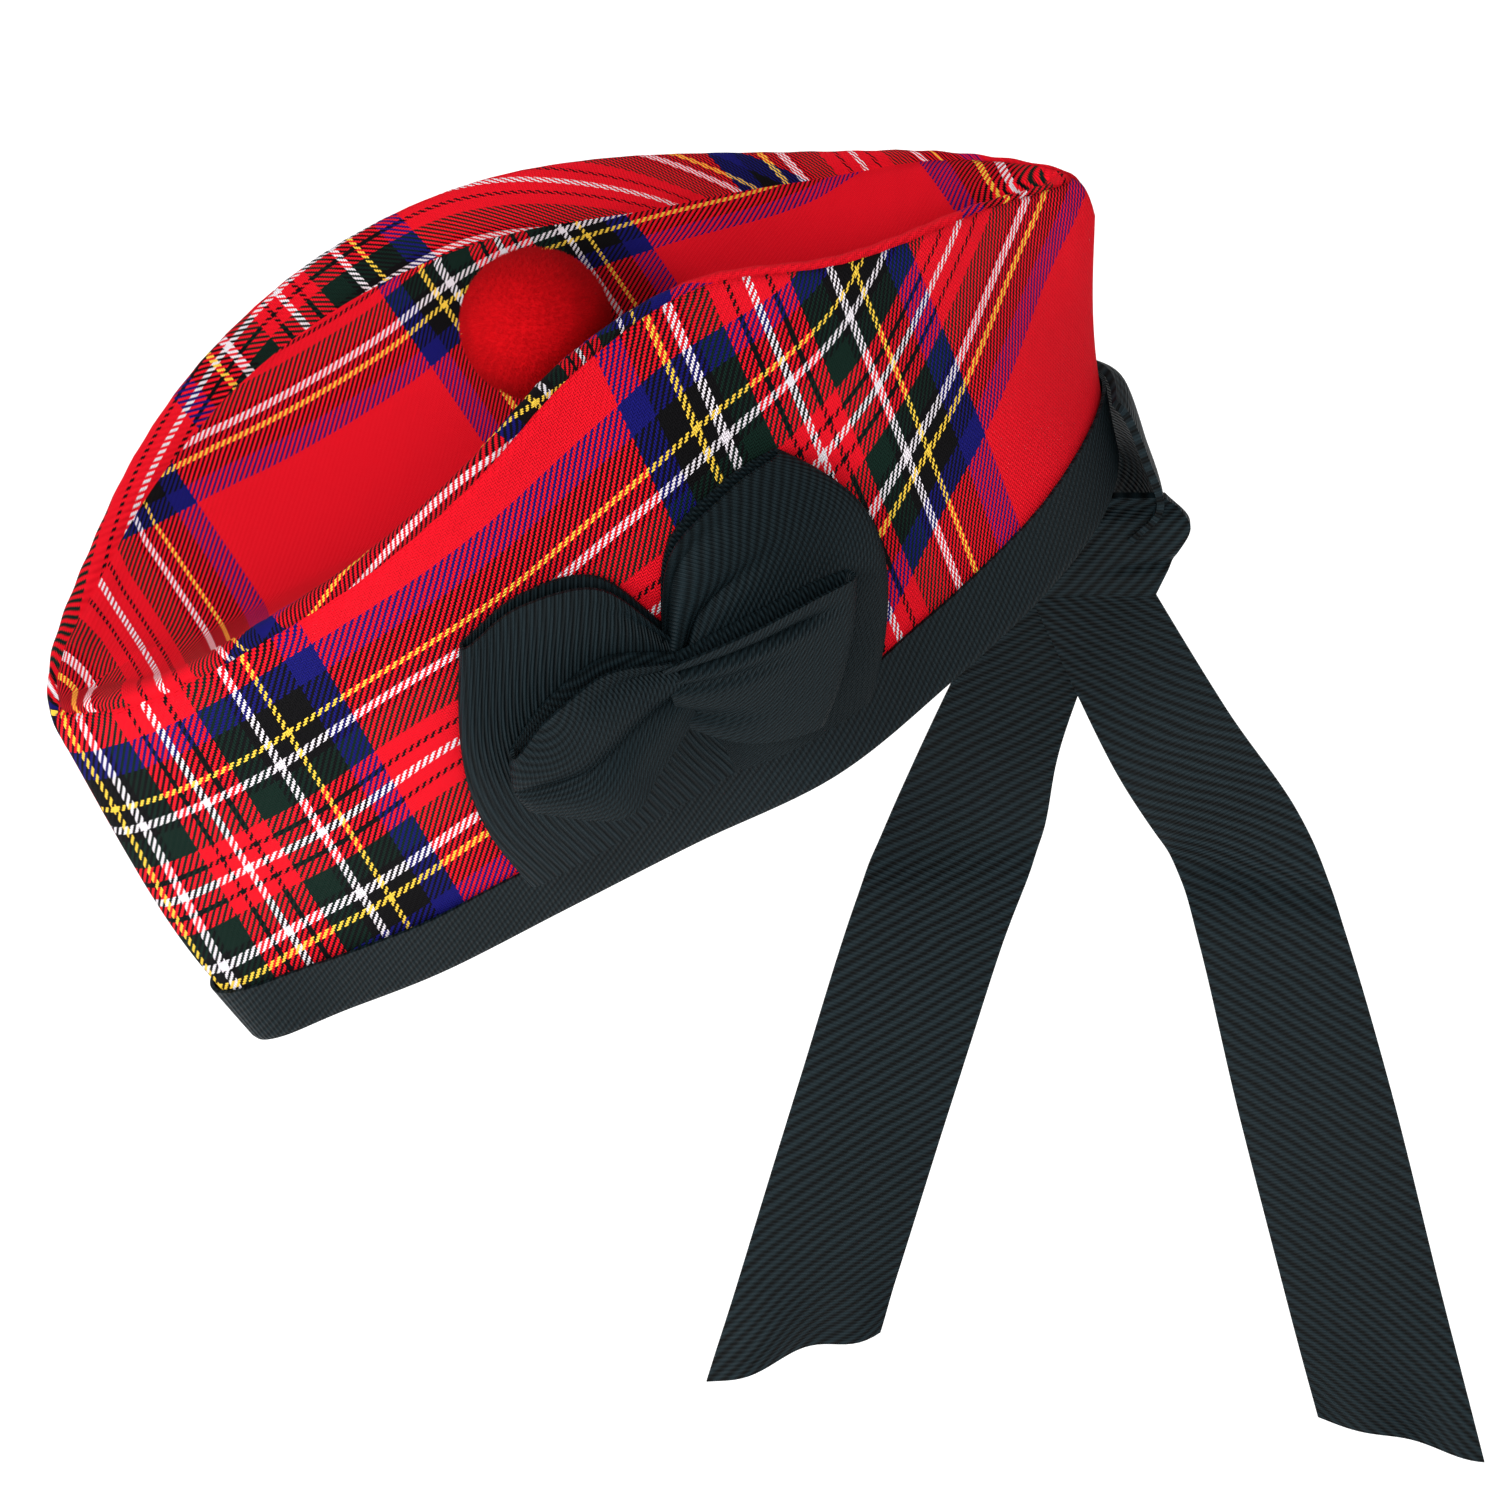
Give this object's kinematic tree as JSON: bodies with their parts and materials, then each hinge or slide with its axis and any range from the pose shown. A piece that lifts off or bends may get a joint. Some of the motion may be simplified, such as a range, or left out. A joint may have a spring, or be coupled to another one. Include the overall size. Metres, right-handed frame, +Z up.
{
  "type": "glengarry",
  "caption": "Tartan glengarry cap with a creased crown, a wool toorie, a ribbon band, a pinched ribbon cockade on its left side and ribbon tails hanging from the back.",
  "frame": {"origin": "middle of the rim, where the head goes in", "axes": "+Z up, the cap's front along -X and dipped 29.7 degrees, the wearer's left along -Y"},
  "size_m": [0.3727, 0.1192, 0.3855],
  "materials": {
    "tartan_cloth": "twill wool in a red tartan",
    "black_ribbon": "ribbed ribbon, slightly glossy",
    "red_wool": "dense clipped wool"
  },
  "bodies": {
    "root": {"side_left": "tartan_cloth", "side_right": "tartan_cloth", "crown": "tartan_cloth", "band": "black_ribbon", "cockade_back_bow": "black_ribbon", "cockade_front_bow": "black_ribbon", "toorie": "red_wool", "back_knot": "black_ribbon", "tail_left": "black_ribbon", "tail_right": "black_ribbon"}
  },
  "joints": []
}
